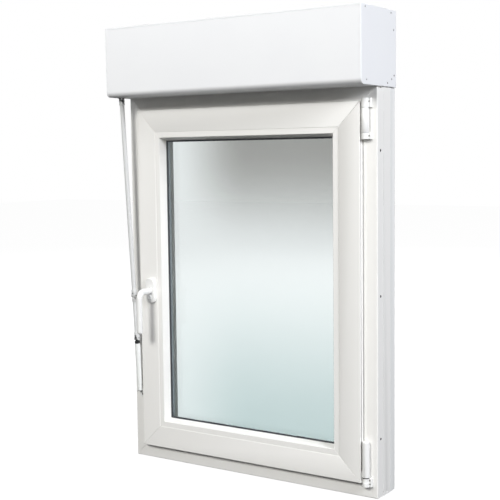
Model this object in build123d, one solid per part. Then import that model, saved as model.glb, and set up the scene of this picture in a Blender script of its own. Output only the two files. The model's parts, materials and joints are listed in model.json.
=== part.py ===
"""Tilt-and-turn window unit with a roller shutter box and a folding hand crank.

Millimetres. X runs to the right as seen from the room, +Y to the outside, +Z up.
The origin is on the underside of the frame's sill, at mid-width and at mid-depth of the frame.
Most cross-sections are given by "inset": the distance in from the frame's outer edge.
"""
from build123d import *
import math
import os

# ---------------------------------------------------------------- driving dimensions
frame_width = 766.0
frame_height = 1013.0
frame_depth = 70.0
frame_body = 46.0          # width of the frame's hollow body
frame_leg = 66.0           # inset of the inner edge of the outer leg
frame_leg_depth = 20.0
frame_edge_radius = 2.5

sash_inset = 38.0          # sash's outer edge, from the frame's outer edge
sash_proud = 17.0          # sash face in front of the frame's room face
lip_gap = 3.0              # gap that the overlap seal fills
rebate_gap = 12.0          # hardware gap between frame body and sash body
sash_body = 40.0           # width of the sash's hollow body
sash_depth = 64.0
glazing_leg = 17.0         # sash's outer leg behind the glass
glazing_leg_depth = 13.0
bead_face = 15.0           # flat front of the glazing bead
bead_slope = 8.0           # run of the bead's sloping side
bead_depth = 22.0
bead_setback = 0.8

pane_thickness = 4.0
pane_gap = 16.0
pane_cover = 15.0          # how far the glass edge sits under the bead
spacer_width = 9.0
gasket_thickness = 3.0
gasket_face = 4.0
steel_wall = 1.5
steel_clearance = 1.0

rail_depth = 27.0
rail_width = 50.0
rail_wall = 3.0
slat_thickness = 9.0
slat_setback = 10.5        # slats behind the frame's back
curtain_width = 700.0
slot_clearance = 2.5       # each side of the slats in the guide rail

box_height = 185.0
box_depth = 184.0
box_overhang = 92.0        # box front in front of the frame's room face
box_drop = 3.0             # cover hangs this far below the frame's top
box_wall = 5.0
box_radius = 14.0
cap_thickness = 5.0

shaft_across_flats = 60.0
shaft_wall = 1.5
roll_radius = 57.0
shaft_setback = 107.0      # shaft axis behind the box front
shaft_height = 94.0        # shaft axis above the box's underside
bar_height = 50.0
bar_tuck = 5.0             # bottom bar's top above the frame's top when wound up

handle_x_inset = 78.0      # handle axis from the frame's outer edge
handle_height = 479.0
lever_reach = 56.0         # lever centre in front of the sash face
lever_length = 115.0
lever_tip_radius = 8.0
rosette_width = 32.0
rosette_height = 70.0
rosette_thickness = 10.0
spindle_side = 7.0
rod_travel = 36.0          # drive rods, for half a turn of the handle

hinge_out = 10.5           # hinge axis beyond the sash edge
hinge_radius = 9.0
hinge_pin_radius = 3.5
stay_length = 340.0
hinge_neck_radius = 7.4    # bearing beside the tilt pivot
top_hinge_drop = 91.0      # lower end of the top hinge below the sash's top
top_hinge_rise = 7.0
top_hinge_leaf = 15.0
running_clearance = 0.06
end_clearance = 0.5

cardan_inset = 12.1        # cardan centre from the frame's outer edge
cardan_setback = 42.3      # cardan centre behind the box front
cardan_drop = 7.0          # cardan centre below the box
clip_inset = 25.5          # crank line at the clip, from the frame's outer edge
clip_reach = 12.0          # crank line at the clip, in front of the frame's room face
clip_drop = 813.0          # height on the crank line that the clip is set out from, below the cardan centre
clip_below, clip_above = 4.0, 7.0
clip_gap = 0.6
clip_wall = 2.2
clip_foot_height = 14.0
rod_radius = 6.0
knuckle_radius = 7.5
grip_radius = 8.0
fold_to_arm = 541.0        # cardan centre to the upper fold
arm_length = 121.0
worm_radius = 7.0
mesh_gap = 0.4             # between worm and worm wheel
grip_length = 150.0        # lower fold to the grip's end
pin_radius = 2.0
tongue_thickness = 5.0
fork_slot = 5.6

fixing_spacing = 355.0
fixing_low = 147.0
fixing_hole_radius = 3.2
fixing_y = -16.0

# ---------------------------------------------------------------- derived places
half_width = frame_width / 2
face_y = -frame_depth / 2
back_y = frame_depth / 2
sash_face_y = face_y - sash_proud
lip_back_y = face_y - lip_gap
sash_back_y = sash_face_y + sash_depth
leg_front_y = back_y - frame_leg_depth
sash_body_inset = frame_body + rebate_gap
bead_inset = sash_body_inset + sash_body
bead_edge_inset = bead_inset + bead_face
bead_deep_inset = bead_edge_inset + bead_slope
glass_inset = bead_deep_inset - pane_cover
bead_back_y = sash_face_y + bead_depth
inner_pane_y = bead_back_y + gasket_thickness
outer_pane_y = inner_pane_y + pane_thickness + pane_gap
glass_back_y = outer_pane_y + pane_thickness
leg_y = sash_back_y - glazing_leg_depth
rail_back_y = back_y + rail_depth
slat_y = back_y + slat_setback

box_bottom_z = frame_height - box_drop
box_top_z = box_bottom_z + box_height
box_front_y = face_y - box_overhang
box_back_y = box_front_y + box_depth
shaft_y = box_front_y + shaft_setback
shaft_z = box_bottom_z + shaft_height
cardan_x = -half_width + cardan_inset
cardan_y = box_front_y + cardan_setback
cardan_z = box_bottom_z - cardan_drop
clip_level = cardan_z - clip_drop
bar_top_z = frame_height + bar_tuck

hinge_x = half_width - sash_inset + hinge_out
hinge_y = face_y - hinge_radius - 1.0
sash_bottom_z = sash_inset
sash_top_z = frame_height - sash_inset
tilt_z = sash_bottom_z + 8.0
tilt_y = (sash_face_y + lip_back_y) / 2
handle_x = -half_width + handle_x_inset
jamb_line = half_width - frame_body
sash_line = half_width - sash_body_inset


# ---------------------------------------------------------------- helpers
def block(x0, x1, y0, y1, z0, z1):
    """Box between two corners."""
    return Pos((x0 + x1) / 2, (y0 + y1) / 2, (z0 + z1) / 2) * Box(abs(x1 - x0), abs(y1 - y0), abs(z1 - z0))


def ring(inset_out, inset_in, y0, y1):
    """Rectangular ring around the window between two insets."""
    def plate(inset, ya, yb):
        return block(inset - half_width, half_width - inset, ya, yb, inset, frame_height - inset)
    return plate(inset_out, y0, y1) - plate(inset_in, y0 - 1, y1 + 1)


def members(frame_ring, inset, reach):
    """Split a ring into four mitred members; the mitres start at the corners of the given inset."""
    x, z0, z1 = half_width - inset, inset, frame_height - inset
    corners = {
        "bottom": [(-x, z0), (x, z0), (x - reach, z0 + reach), (-x + reach, z0 + reach)],
        "top": [(-x, z1), (x, z1), (x - reach, z1 - reach), (-x + reach, z1 - reach)],
        "left": [(-x, z0), (-x, z1), (-x + reach, z1 - reach), (-x + reach, z0 + reach)],
        "right": [(x, z0), (x, z1), (x - reach, z1 - reach), (x - reach, z0 + reach)],
    }
    cut = {}
    for side, points in corners.items():
        outline = Plane.XZ * make_face(Polyline(*points, close=True))
        cut[side] = frame_ring & extrude(outline, amount=300, both=True)
    return cut


def rod_y(x, z, radius, y0, y1):
    """Cylinder along Y."""
    return Pos(x, (y0 + y1) / 2, z) * Rot(X=90) * Cylinder(radius, y1 - y0)


def rod_x(y, z, radius, x0, x1):
    """Cylinder along X."""
    return Pos((x0 + x1) / 2, y, z) * Rot(Y=90) * Cylinder(radius, x1 - x0)


def rod_z(x, y, radius, z0, z1):
    """Cylinder along Z."""
    return Pos(x, y, (z0 + z1) / 2) * Cylinder(radius, z1 - z0)


def front_edges(shape, y, inset):
    """Edges of a ring that lie in the plane y on the rectangle of the given inset."""
    x, z0, z1 = half_width - inset, inset, frame_height - inset

    def on_outline(edge):
        c = edge.center()
        on_side = abs(abs(c.X) - x) < 0.01 or abs(c.Z - z0) < 0.01 or abs(c.Z - z1) < 0.01
        return abs(c.Y - y) < 0.01 and on_side
    return [e for e in shape.edges() if on_outline(e)]


def tube_members(inset_out, inset_in, y0, y1, end_gap):
    """Four square-cut box tubes that reinforce a ring's chamber."""
    x0, z0 = half_width - inset_out, inset_out
    width = inset_in - inset_out
    cut = inset_in + end_gap
    bars = []
    for sign in (-1, 1):
        xa, xb = sorted((sign * x0, sign * (x0 - width)))
        bars.append((block(xa, xb, y0, y1, cut, frame_height - cut),
                     block(xa + steel_wall, xb - steel_wall, y0 + steel_wall, y1 - steel_wall, 0, frame_height)))
    for za in (z0, frame_height - z0 - width):
        bars.append((block(cut - half_width, half_width - cut, y0, y1, za, za + width),
                     block(-half_width, half_width, y0 + steel_wall, y1 - steel_wall,
                           za + steel_wall, za + width - steel_wall)))
    return Compound(children=[outside - inside for outside, inside in bars])


def group(pieces):
    """Separate solids that share one node."""
    return Compound(children=list(pieces))


parts = {}

# ---------------------------------------------------------------- outer frame
groove_depth = 2.0
step_y = face_y + 33.0
frame_ring = ring(0, frame_body, face_y, back_y) + ring(0, frame_leg, leg_front_y, back_y)
frame_ring = fillet(front_edges(frame_ring, face_y, 0), frame_edge_radius)
frame_ring -= ring(-5, groove_depth, face_y + 3.0, face_y + 5.0)
frame_chamber = (9.0, frame_body - 8.0, face_y + 12.0, leg_front_y - 2.0)
frame_ring -= ring(*frame_chamber)
frame_members = members(frame_ring, 0, frame_leg + 4)

fixing_heights = [fixing_low + i * fixing_spacing for i in range(3)]
fixing_holes = [rod_x(fixing_y, z, fixing_hole_radius, -half_width - 1, half_width + 1) for z in fixing_heights]
for side, sign in (("left", -1), ("right", 1)):
    jamb = frame_members[side]
    x0, x1 = sorted((sign * (half_width - 0.8), sign * (half_width + 1)))
    jamb -= block(x0, x1, face_y + 5.0, step_y, -1, frame_height + 1)
    for hole in fixing_holes:
        jamb -= hole
    x0, x1 = sorted((sign * (half_width - 4), sign * (half_width + 1)))
    jamb -= block(x0, x1, face_y + 8, face_y + 28, frame_height - 7, frame_height + 1)
    for hole_y, hole_z in ((face_y + 32, 9.0), (face_y + 50, 6.0)):
        jamb -= rod_x(hole_y, hole_z, 2.2, x0, x1)
    parts["frame_jamb_" + side] = jamb
parts["frame_head"] = frame_members["top"]
frame_sill = frame_members["bottom"]
for x in (-frame_width / 4, frame_width / 4):
    frame_sill -= block(x - 14, x + 14, leg_front_y - 1, back_y + 1, frame_body - 6, frame_body - 1)
parts["frame_sill"] = frame_sill
frame_steel = tube_members(
    frame_chamber[0] + steel_clearance, frame_chamber[1] - steel_clearance,
    frame_chamber[2] + steel_clearance, frame_chamber[3] - steel_clearance, 4.0)
for hole in fixing_holes:
    frame_steel -= hole
parts["frame_reinforcement"] = frame_steel
parts["frame_gasket"] = ring(frame_leg - 5, frame_leg - 1, leg_front_y - gasket_thickness + 0.3, leg_front_y)

# ---------------------------------------------------------------- guide rails
slot_y0 = slat_y - slat_thickness / 2 - slot_clearance
slot_y1 = slat_y + slat_thickness / 2 + slot_clearance
rail_step_y = rail_back_y - 14.0
for side, sign in (("left", -1), ("right", 1)):
    x0, x1 = sorted((sign * half_width, sign * (half_width - rail_width)))
    rail = block(x0, x1, back_y, rail_back_y, 0, frame_height)
    s0, s1 = sorted((sign * (half_width - rail_wall), sign * (half_width - rail_width - 1)))
    rail -= block(s0, s1, slot_y0, slot_y1, -1, frame_height + 1)
    b0, b1 = sorted((sign * (half_width - 1.2), sign * (half_width + 1)))
    rail -= block(b0, b1, rail_step_y, rail_back_y + 1, -1, frame_height + 1)
    parts["guide_rail_" + side] = rail

# ---------------------------------------------------------------- sash
sash_ring = ring(sash_inset, bead_inset, sash_face_y, lip_back_y)
sash_ring += ring(sash_body_inset, bead_inset, lip_back_y, sash_back_y)
sash_ring += ring(sash_body_inset, bead_inset + glazing_leg, leg_y, sash_back_y)
sash_ring = fillet(front_edges(sash_ring, sash_face_y, sash_inset), 2.0)
sash_ring -= ring(sash_inset - 1, sash_inset + 1.6, sash_face_y + 2.6, sash_face_y + 4.4)
sash_chamber = (sash_body_inset + 10.0, bead_inset - 4.0, sash_face_y + 12.0, leg_y - 2.0)
sash_ring -= ring(*sash_chamber)
groove_y0, groove_y1 = face_y + 12.0, face_y + 28.0
sash_ring -= ring(sash_body_inset - 1, sash_body_inset + 4.0, groove_y0, groove_y1)
sash_members = members(sash_ring, sash_inset, bead_inset + glazing_leg - sash_inset + 4)

spindle_hole = rod_y(handle_x, handle_height, 6.0, sash_face_y - 1, sash_face_y + 13)
case_y0, case_y1 = groove_y0 + 0.5, groove_y1 - 0.5
case_pocket = block(-sash_line - 1, -sash_line + 33.6, case_y0 - 0.3, case_y1 + 0.3,
                    handle_height - 80.3, handle_height + 80.3)
left_stile = sash_members["left"] - spindle_hole - case_pocket
tilt_pin_radius = 2.5
hinge_pocket = rod_x(tilt_y, tilt_z, tilt_pin_radius + running_clearance,
                     half_width - sash_inset - 8.5, half_width - sash_inset + 1)
parts["sash_stile_left"] = left_stile
parts["sash_stile_right"] = sash_members["right"] - hinge_pocket
parts["sash_rail_top"] = sash_members["top"]
sash_bottom = sash_members["bottom"]
parts["sash_rail_bottom"] = sash_bottom - hinge_pocket
steel = [s for s in tube_members(
    sash_chamber[0] + steel_clearance, sash_chamber[1] - steel_clearance,
    sash_chamber[2] + steel_clearance, sash_chamber[3] - steel_clearance, 4.0).solids()]
steel_cut = block(-sash_line - 5, -sash_line + 45, face_y - 30, back_y, handle_height - 84, handle_height + 84)
parts["sash_reinforcement"] = group(s for bar in steel for s in (bar - steel_cut).solids())

# glazing beads: flat front, then a slope down to the glass
bead_ring = block(bead_inset - half_width, half_width - bead_inset, sash_face_y + bead_setback, bead_back_y,
                  bead_inset, frame_height - bead_inset)
opening_w = frame_width - 2 * bead_edge_inset
opening_h = frame_height - 2 * bead_edge_inset
mouth = Plane(origin=(0, sash_face_y + bead_setback, frame_height / 2), x_dir=(1, 0, 0), z_dir=(0, 1, 0))
slope_depth = bead_depth - bead_setback
bead_hole = extrude(mouth * Rectangle(opening_w, opening_h), amount=slope_depth + 1.0,
                    taper=math.degrees(math.atan(bead_slope / slope_depth)))
bead_members = members(bead_ring - bead_hole, bead_inset, bead_deep_inset - bead_inset + 4)
for side, bead in bead_members.items():
    parts["glazing_bead_" + side] = bead

# double glazing
glass_w = frame_width - 2 * glass_inset
glass_h = frame_height - 2 * glass_inset
for name, y in (("pane_inner", inner_pane_y), ("pane_outer", outer_pane_y)):
    parts[name] = block(-glass_w / 2, glass_w / 2, y, y + pane_thickness, glass_inset, frame_height - glass_inset)
parts["spacer_bar"] = ring(glass_inset + 2, glass_inset + 2 + spacer_width,
                           inner_pane_y + pane_thickness, outer_pane_y)
parts["glazing_gasket_inner"] = ring(bead_deep_inset - 5, bead_deep_inset + gasket_face,
                                     bead_back_y, inner_pane_y)
parts["glazing_gasket_outer"] = ring(bead_inset + glazing_leg - 5, bead_inset + glazing_leg - 0.5,
                                     glass_back_y, leg_y)
block_z = (bead_inset, glass_inset)
parts["setting_blocks"] = group(block(x - 40, x + 40, inner_pane_y, glass_back_y, *block_z)
                                for x in (-glass_w / 2 + 90, glass_w / 2 - 90))
sash_gasket = ring(sash_inset + 4, sash_inset + 7, lip_back_y, face_y - 1.0)

# ---------------------------------------------------------------- espagnolette and handle
rod_gap = 0.6
rod_thickness = 2.4
rod_x0 = -sash_line - rod_gap - rod_thickness
cam_radius, cam_reach = 4.5, 5.0
case = block(-sash_line + 4.0, -sash_line + 33, case_y0, case_y1, handle_height - 80, handle_height + 80)
spindle_clear = spindle_side / math.sqrt(2) + running_clearance
case -= rod_y(handle_x, handle_height, spindle_clear, case_y0 - 1, case_y1 + 1)
parts["espagnolette_case"] = case

stile_low, stile_high = sash_body_inset + 60, frame_height - sash_body_inset - 60
cam_heights = [stile_low + 100, handle_height + 130, stile_high - 110]
side_rod = block(rod_x0, rod_x0 + rod_thickness, groove_y0 + 2, groove_y1 - 2, stile_low, stile_high)
for z in cam_heights:
    side_rod += rod_x((groove_y0 + groove_y1) / 2, z, cam_radius, rod_x0 - cam_reach, rod_x0 + 0.5)
parts["drive_rod_side"] = side_rod

top_line = frame_height - sash_body_inset
top_rod_z = top_line + rod_gap
cam_places = [-220.0, -80.0]
top_rod = block(-sash_line + 60, -sash_line + 400, groove_y0 + 2, groove_y1 - 2, top_rod_z, top_rod_z + rod_thickness)
for x in cam_places:
    top_rod += rod_z(x, (groove_y0 + groove_y1) / 2, cam_radius, top_rod_z + 2.0, top_rod_z + rod_thickness + cam_reach)
parts["drive_rod_top"] = top_rod

striker_thickness = 2.0
strikers = []
for z in cam_heights:
    strikers.append(block(-jamb_line, -jamb_line + striker_thickness, groove_y0 - 4, groove_y1 + 6, z - 45, z + 25))
for x in cam_places:
    strikers.append(block(x - 45, x + 25, groove_y0 - 4, groove_y1 + 6,
                          frame_height - frame_body - striker_thickness, frame_height - frame_body))
parts["striker_plates"] = group(strikers)

rosette_y = sash_face_y - rosette_thickness
rosette_plane = Plane(origin=(handle_x, sash_face_y, handle_height), x_dir=(1, 0, 0), z_dir=(0, -1, 0))
rosette = extrude(rosette_plane * SlotOverall(rosette_height, rosette_width, rotation=90), amount=rosette_thickness)
rosette = fillet([e for e in rosette.edges() if abs(e.center().Y - rosette_y) < 0.01], 3.0)
neck_radius = 9.0
rosette -= rod_y(handle_x, handle_height, neck_radius + running_clearance, rosette_y - 1, sash_face_y + 1)
parts["handle_rosette"] = rosette

lever_y = sash_face_y - lever_reach
bend = 15.0
neck_line = FilletPolyline((handle_x, sash_face_y - 0.5, handle_height), (handle_x, lever_y, handle_height),
                           (handle_x, lever_y, handle_height - bend - 4), radius=bend)
neck_start = Plane(origin=(handle_x, sash_face_y - 0.5, handle_height), x_dir=(1, 0, 0), z_dir=(0, -1, 0))
neck = sweep(neck_start * Circle(neck_radius), path=neck_line)
lever_top_z = handle_height - bend - 4
lever_tip_z = handle_height - lever_length
lever_run = lever_top_z - lever_tip_z
lever = Pos(handle_x, lever_y, (lever_top_z + lever_tip_z) / 2) * Cone(lever_tip_radius, neck_radius, lever_run)
handle = neck + lever
handle = fillet([e for e in handle.edges() if abs(e.center().Z - lever_tip_z) < 0.01], 5.0)
half_spindle = spindle_side / 2
spindle_hole_cut = block(handle_x - half_spindle, handle_x + half_spindle, sash_face_y - 20, sash_face_y + 1,
                         handle_height - half_spindle, handle_height + half_spindle)
parts["handle_lever"] = handle - spindle_hole_cut
parts["handle_spindle"] = block(handle_x - half_spindle, handle_x + half_spindle, sash_face_y - 20, case_y1 - 1,
                                handle_height - half_spindle, handle_height + half_spindle)

# ---------------------------------------------------------------- hinges
bearing_z0, bearing_z1 = 30.0, 53.0
pivot_top_z = 144.0
bearing_foot = block(hinge_x - 5, hinge_x + 14, hinge_y, face_y, bearing_z0, bearing_z1)
bearing_step_z = tilt_z - 6.0
bearing = rod_z(hinge_x, hinge_y, hinge_radius, bearing_z0, bearing_step_z) + bearing_foot
bearing += rod_z(hinge_x, hinge_y, hinge_neck_radius, bearing_step_z, bearing_z1)
bearing += rod_z(hinge_x, hinge_y, hinge_pin_radius, bearing_z1 - 1, pivot_top_z - 12)
parts["hinge_bottom_bearing"] = bearing
pivot = rod_z(hinge_x, hinge_y, hinge_radius, bearing_z1 + end_clearance, pivot_top_z)
pivot = fillet([e for e in pivot.edges() if abs(e.center().Z - pivot_top_z) < 0.01], 3.0)
pivot -= rod_z(hinge_x, hinge_y, hinge_pin_radius + running_clearance, bearing_z1 - 2, pivot_top_z - 11)
sash_edge_x = half_width - sash_inset
shoe = block(sash_edge_x + 0.6, hinge_x - 4, tilt_y - 5, tilt_y + 5, bearing_z1 + end_clearance, bearing_z1 + 16)
tilt_arm = block(sash_edge_x + 0.6, sash_edge_x + 2.6, tilt_y - 5, tilt_y + 5, tilt_z - 5, bearing_z1 + 8)
tilt_pin = rod_x(tilt_y, tilt_z, tilt_pin_radius, sash_edge_x - 8, sash_edge_x + 1.0)
pin_room = rod_z(hinge_x, hinge_y, hinge_pin_radius + running_clearance, bearing_z1 - 2, pivot_top_z - 11)
parts["hinge_bottom_pivot"] = pivot + (shoe - pin_room) + tilt_arm + tilt_pin

top_z0, top_z1 = sash_top_z - top_hinge_drop, sash_top_z + top_hinge_rise
knuckle_z0, knuckle_z1 = top_z0 + top_hinge_leaf, sash_top_z - top_hinge_leaf
bracket = rod_z(hinge_x, hinge_y, hinge_radius, top_z0, knuckle_z0)
bracket += block(hinge_x - 6, hinge_x + 14, hinge_y, face_y, top_z0, knuckle_z0)
bracket += rod_z(hinge_x, hinge_y, hinge_radius, knuckle_z1, top_z1)
bracket += block(hinge_x - 6, hinge_x + 14, hinge_y, face_y, knuckle_z1, top_z1)
bracket += rod_z(hinge_x, hinge_y, hinge_pin_radius, knuckle_z0 - 1, knuckle_z1 + 1)
parts["hinge_top_bracket"] = bracket
knuckle = rod_z(hinge_x, hinge_y, hinge_radius, knuckle_z0 + end_clearance, knuckle_z1 - end_clearance)
knuckle_hole = rod_z(hinge_x, hinge_y, hinge_pin_radius + running_clearance, knuckle_z0 - 2, knuckle_z1 + 2)
plate_y0, plate_y1 = face_y - 2.3, face_y - 0.8
web_x0, web_x1 = sash_line + 3.0, sash_line + 6.0
bar_z0 = top_line + 4.6
stay_bar_y0, stay_bar_y1 = face_y + 6.0, face_y + 20.0
hinge_plate = block(web_x0, hinge_x - 2, plate_y0, plate_y1, knuckle_z1 - 40, knuckle_z1 - end_clearance)
web = block(web_x0, web_x1, plate_y0, stay_bar_y1, knuckle_z1 - 16, knuckle_z1 - end_clearance)
riser = block(web_x0, web_x1, stay_bar_y0, stay_bar_y1, knuckle_z1 - 16, bar_z0 + 3)
stay_bar = block(web_x1 - stay_length, web_x1, stay_bar_y0, stay_bar_y1, bar_z0, bar_z0 + 3)
seal_notch = block(web_x0 - 2, half_width, lip_back_y - 1, face_y, knuckle_z1 - 43, knuckle_z1 + 2)
parts["sash_gasket"] = sash_gasket - seal_notch
parts["stay_arm"] = (knuckle + hinge_plate - knuckle_hole) + web + riser + stay_bar

# ---------------------------------------------------------------- shutter box
def box_outline(offset):
    """Side outline of the box, offset inwards, with the rounded lower front edge."""
    y0, y1 = box_front_y + offset, box_back_y - offset
    z0, z1 = box_bottom_z + offset, box_top_z - offset
    r = box_radius - offset
    lines = Polyline((y0, z0 + r), (y0, z1), (y1, z1), (y1, z0), (y0 + r, z0))
    corner = RadiusArc((y0 + r, z0), (y0, z0 + r), r)
    return make_face(lines + corner)


def box_slab(offset, x0, x1):
    """Box outline extruded along X between two places."""
    plane = Plane(origin=(x0, 0, 0), x_dir=(0, 1, 0), z_dir=(1, 0, 0))
    return extrude(plane * box_outline(offset), amount=x1 - x0)


shell = box_slab(0, -half_width, half_width) - box_slab(box_wall, -half_width - 1, half_width + 1)
split_top_z = box_top_z - box_wall
front_zone = block(-half_width, half_width, box_front_y - 1, face_y - 0.3, box_bottom_z - 1, split_top_z)
parts["box_front_cover"] = shell & front_zone
rear_zone = block(-half_width, half_width, box_front_y - 1, box_back_y + 1, split_top_z, box_top_z + 1)
rear_zone += block(-half_width, half_width, box_back_y - box_wall, box_back_y + 1,
                   frame_height + box_wall, box_top_z + 1)
parts["box_rear_shell"] = shell & rear_zone
bottom_panel = block(-half_width, half_width, face_y, slot_y0, frame_height, frame_height + box_wall)
parts["box_bottom_panel"] = bottom_panel

cap_screw_places = [(box_front_y + 22, box_top_z - 7), (box_back_y - 28, box_top_z - 8), (box_back_y - 13, box_top_z - 48),
                    (box_back_y - 11, box_bottom_z + 28), (box_front_y + 28, box_bottom_z + 11),
                    (box_back_y - 46, box_bottom_z + 9), (box_back_y - 24, box_bottom_z + 19)]
cap_screws = []
for side, sign in (("left", -1), ("right", 1)):
    x0, x1 = sorted((sign * half_width, sign * (half_width + cap_thickness)))
    end_cap = box_slab(0, x0, x1)
    outer = [e for e in end_cap.edges() if abs(abs(e.center().X) - half_width - cap_thickness) < 0.01]
    end_cap = fillet(outer, 1.2)
    for y, z in cap_screw_places:
        end_cap -= rod_x(y, z, 2.6, x0 - 1, x1 + 1)
        h0, h1 = sorted((sign * (half_width + cap_thickness - 1.0), sign * (half_width + cap_thickness - 3.0)))
        s0, s1 = sorted((sign * (half_width + cap_thickness - 3.0), sign * half_width))
        cap_screws.append(rod_x(y, z, 2.5, h0, h1) + rod_x(y, z, 1.6, s0, s1))
    parts["end_cap_" + side] = end_cap
parts["end_cap_screws"] = group(cap_screws)

# ---------------------------------------------------------------- shutter
stub_radius = 6.0
winch_x0, winch_x1 = -half_width, -half_width + 30.0
shaft_x0, shaft_x1 = winch_x1 + 2.0, half_width - 27.0
octagon_radius = shaft_across_flats / 2 / math.cos(math.pi / 8)
shaft_plane = Plane(origin=(shaft_x0, shaft_y, shaft_z), x_dir=(0, 1, 0), z_dir=(1, 0, 0))
tube_outline = shaft_plane * RegularPolygon(octagon_radius, 8)
tube_inner = shaft_plane * RegularPolygon(octagon_radius - shaft_wall / math.cos(math.pi / 8), 8)
shaft_tube = extrude(tube_outline, amount=shaft_x1 - shaft_x0) - extrude(tube_inner, amount=shaft_x1 - shaft_x0)
end_discs = [extrude(Plane(origin=(x, shaft_y, shaft_z), x_dir=(0, 1, 0), z_dir=(1, 0, 0))
                     * RegularPolygon(octagon_radius - 0.5, 8), amount=4.0) for x in (shaft_x0, shaft_x1 - 4.0)]
shaft = shaft_tube + end_discs[0] + end_discs[1]
shaft += rod_x(shaft_y, shaft_z, stub_radius, shaft_x1 - 1, half_width - 2.0)
shaft += rod_x(shaft_y, shaft_z, stub_radius, -half_width + 2.0, shaft_x0 + 1)
parts["winding_shaft"] = shaft
curtain_half = curtain_width / 2
roll = rod_x(shaft_y, shaft_z, roll_radius, -curtain_half, curtain_half)
roll -= rod_x(shaft_y, shaft_z, octagon_radius + 0.3, -curtain_half - 1, curtain_half + 1)
parts["slat_roll"] = roll
bearing_x0 = half_width - 22.0
shaft_bearing = rod_x(shaft_y, shaft_z, 26.0, bearing_x0, half_width)
shaft_bearing -= rod_x(shaft_y, shaft_z, stub_radius + running_clearance, bearing_x0 - 1, half_width - 1.5)
parts["shaft_bearing"] = shaft_bearing

# ---------------------------------------------------------------- crank line
foot = Vector(-half_width + clip_inset, face_y - clip_reach, clip_level)
pivot_point = Vector(cardan_x, cardan_y, cardan_z)
up_dir = (pivot_point - foot).normalized()
side_dir = (Vector(1, 0, 0) - up_dir * up_dir.X).normalized()
crank_plane = Plane(origin=pivot_point, x_dir=side_dir, z_dir=up_dir)
crank_at = crank_plane.location


def along(radius, s0, s1):
    """Cylinder on the crank line between two distances below the cardan centre."""
    return Pos(0, 0, -(s0 + s1) / 2) * Cylinder(radius, abs(s1 - s0))


def cube(x0, x1, y0, y1, s0, s1):
    """Box in the crank's own frame; s is measured down the line."""
    return block(x0, x1, y0, y1, -s1, -s0)


def pin_x(radius, s, half_length):
    """Pin across the crank line, along its X."""
    return rod_x(0, -s, radius, -half_length, half_length)


def pin_y(radius, s, half_length):
    """Pin across the crank line, along its Y."""
    return rod_y(0, -s, radius, -half_length, half_length)


yoke_inner, yoke_outer, ear_half, crown = 5.2, 7.6, 4.0, 9.2
trunnion_radius = 1.8
worm_s0, worm_s1 = -150.0, -62.0
ears_up = cube(-yoke_outer, yoke_outer, -ear_half, ear_half, -crown - 1, ear_half)
ears_up -= cube(-yoke_inner, yoke_inner, -9, 9, -crown, 9)
ears_up -= pin_x(trunnion_radius + running_clearance, 0, 9)
ears_up = ears_up & along(yoke_outer, -crown - 1, ear_half)
worm_stem_radius = 4.5
upper_yoke = ears_up + along(yoke_outer, -crown - 4, -crown)
upper_yoke += along(worm_stem_radius, worm_s0 - 8, -crown - 3)
upper_yoke += along(worm_radius, worm_s0, worm_s1)
parts["worm_shaft"] = crank_at * upper_yoke

trunnion_half = yoke_outer - 0.3
cross = cube(-4.6, 4.6, -4.6, 4.6, -4.0, 4.0)
cross += pin_x(trunnion_radius, 0, trunnion_half) + pin_y(trunnion_radius, 0, trunnion_half)
parts["cardan_cross"] = crank_at * cross

ears_down = cube(-ear_half, ear_half, -yoke_outer, yoke_outer, -ear_half, crown + 1)
ears_down -= cube(-9, 9, -yoke_inner, yoke_inner, -9, crown)
ears_down -= pin_y(trunnion_radius + running_clearance, 0, 9)
ears_down = ears_down & along(yoke_outer, -ear_half, crown + 1)
tongue_start = 9.0


def fork(s):
    """Lower end of a member: two ears around the fold at s."""
    body = along(knuckle_radius, s - 16, s) + rod_x(0, -s, knuckle_radius - 0.5, -knuckle_radius + 1, knuckle_radius - 1)
    body -= cube(-fork_slot / 2, fork_slot / 2, -20, 20, s - 8.5, s + 20)
    body -= pin_x(pin_radius, s, 20)
    return body


def tongue(s):
    """Upper end of the next member: a flat eye that turns between the ears."""
    eye = rod_x(0, -s, knuckle_radius - 1.0, -tongue_thickness / 2, tongue_thickness / 2)
    eye += cube(-tongue_thickness / 2, tongue_thickness / 2, -5, 5, s, s + tongue_start + 1)
    eye -= pin_x(pin_radius + running_clearance, s, 20)
    return eye


fold_a, fold_b = fold_to_arm, fold_to_arm + arm_length
crank_rod = ears_down + along(yoke_outer, crown, crown + 4) + along(rod_radius, crown + 3, fold_a - 15) + fork(fold_a)
parts["crank_rod"] = crank_at * crank_rod
parts["fold_pin_upper"] = crank_at * pin_x(pin_radius, fold_a, knuckle_radius - 1)
crank_arm = tongue(fold_a) + along(knuckle_radius, fold_a + tongue_start, fold_a + tongue_start + 8)
crank_arm += along(rod_radius, fold_a + tongue_start + 7, fold_b - 15) + fork(fold_b)
parts["crank_arm"] = crank_at * crank_arm
parts["fold_pin_lower"] = crank_at * pin_x(pin_radius, fold_b, knuckle_radius - 1)
grip_s0, grip_s1 = fold_b + tongue_start + 7, fold_b + grip_length - 16
core_radius = 4.0
grip_end = fold_b + grip_length
core = tongue(fold_b) + along(knuckle_radius, fold_b + tongue_start, grip_s0 - 0.5) + along(core_radius, grip_s0 - 1, grip_end - 4)
core += along(grip_radius, grip_s1 + 0.5, grip_end)
parts["grip_core"] = crank_at * core
sleeve = along(grip_radius, grip_s0, grip_s1) - along(core_radius + running_clearance, grip_s0 - 1, grip_s1 + 1)
parts["crank_grip"] = crank_at * sleeve

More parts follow.
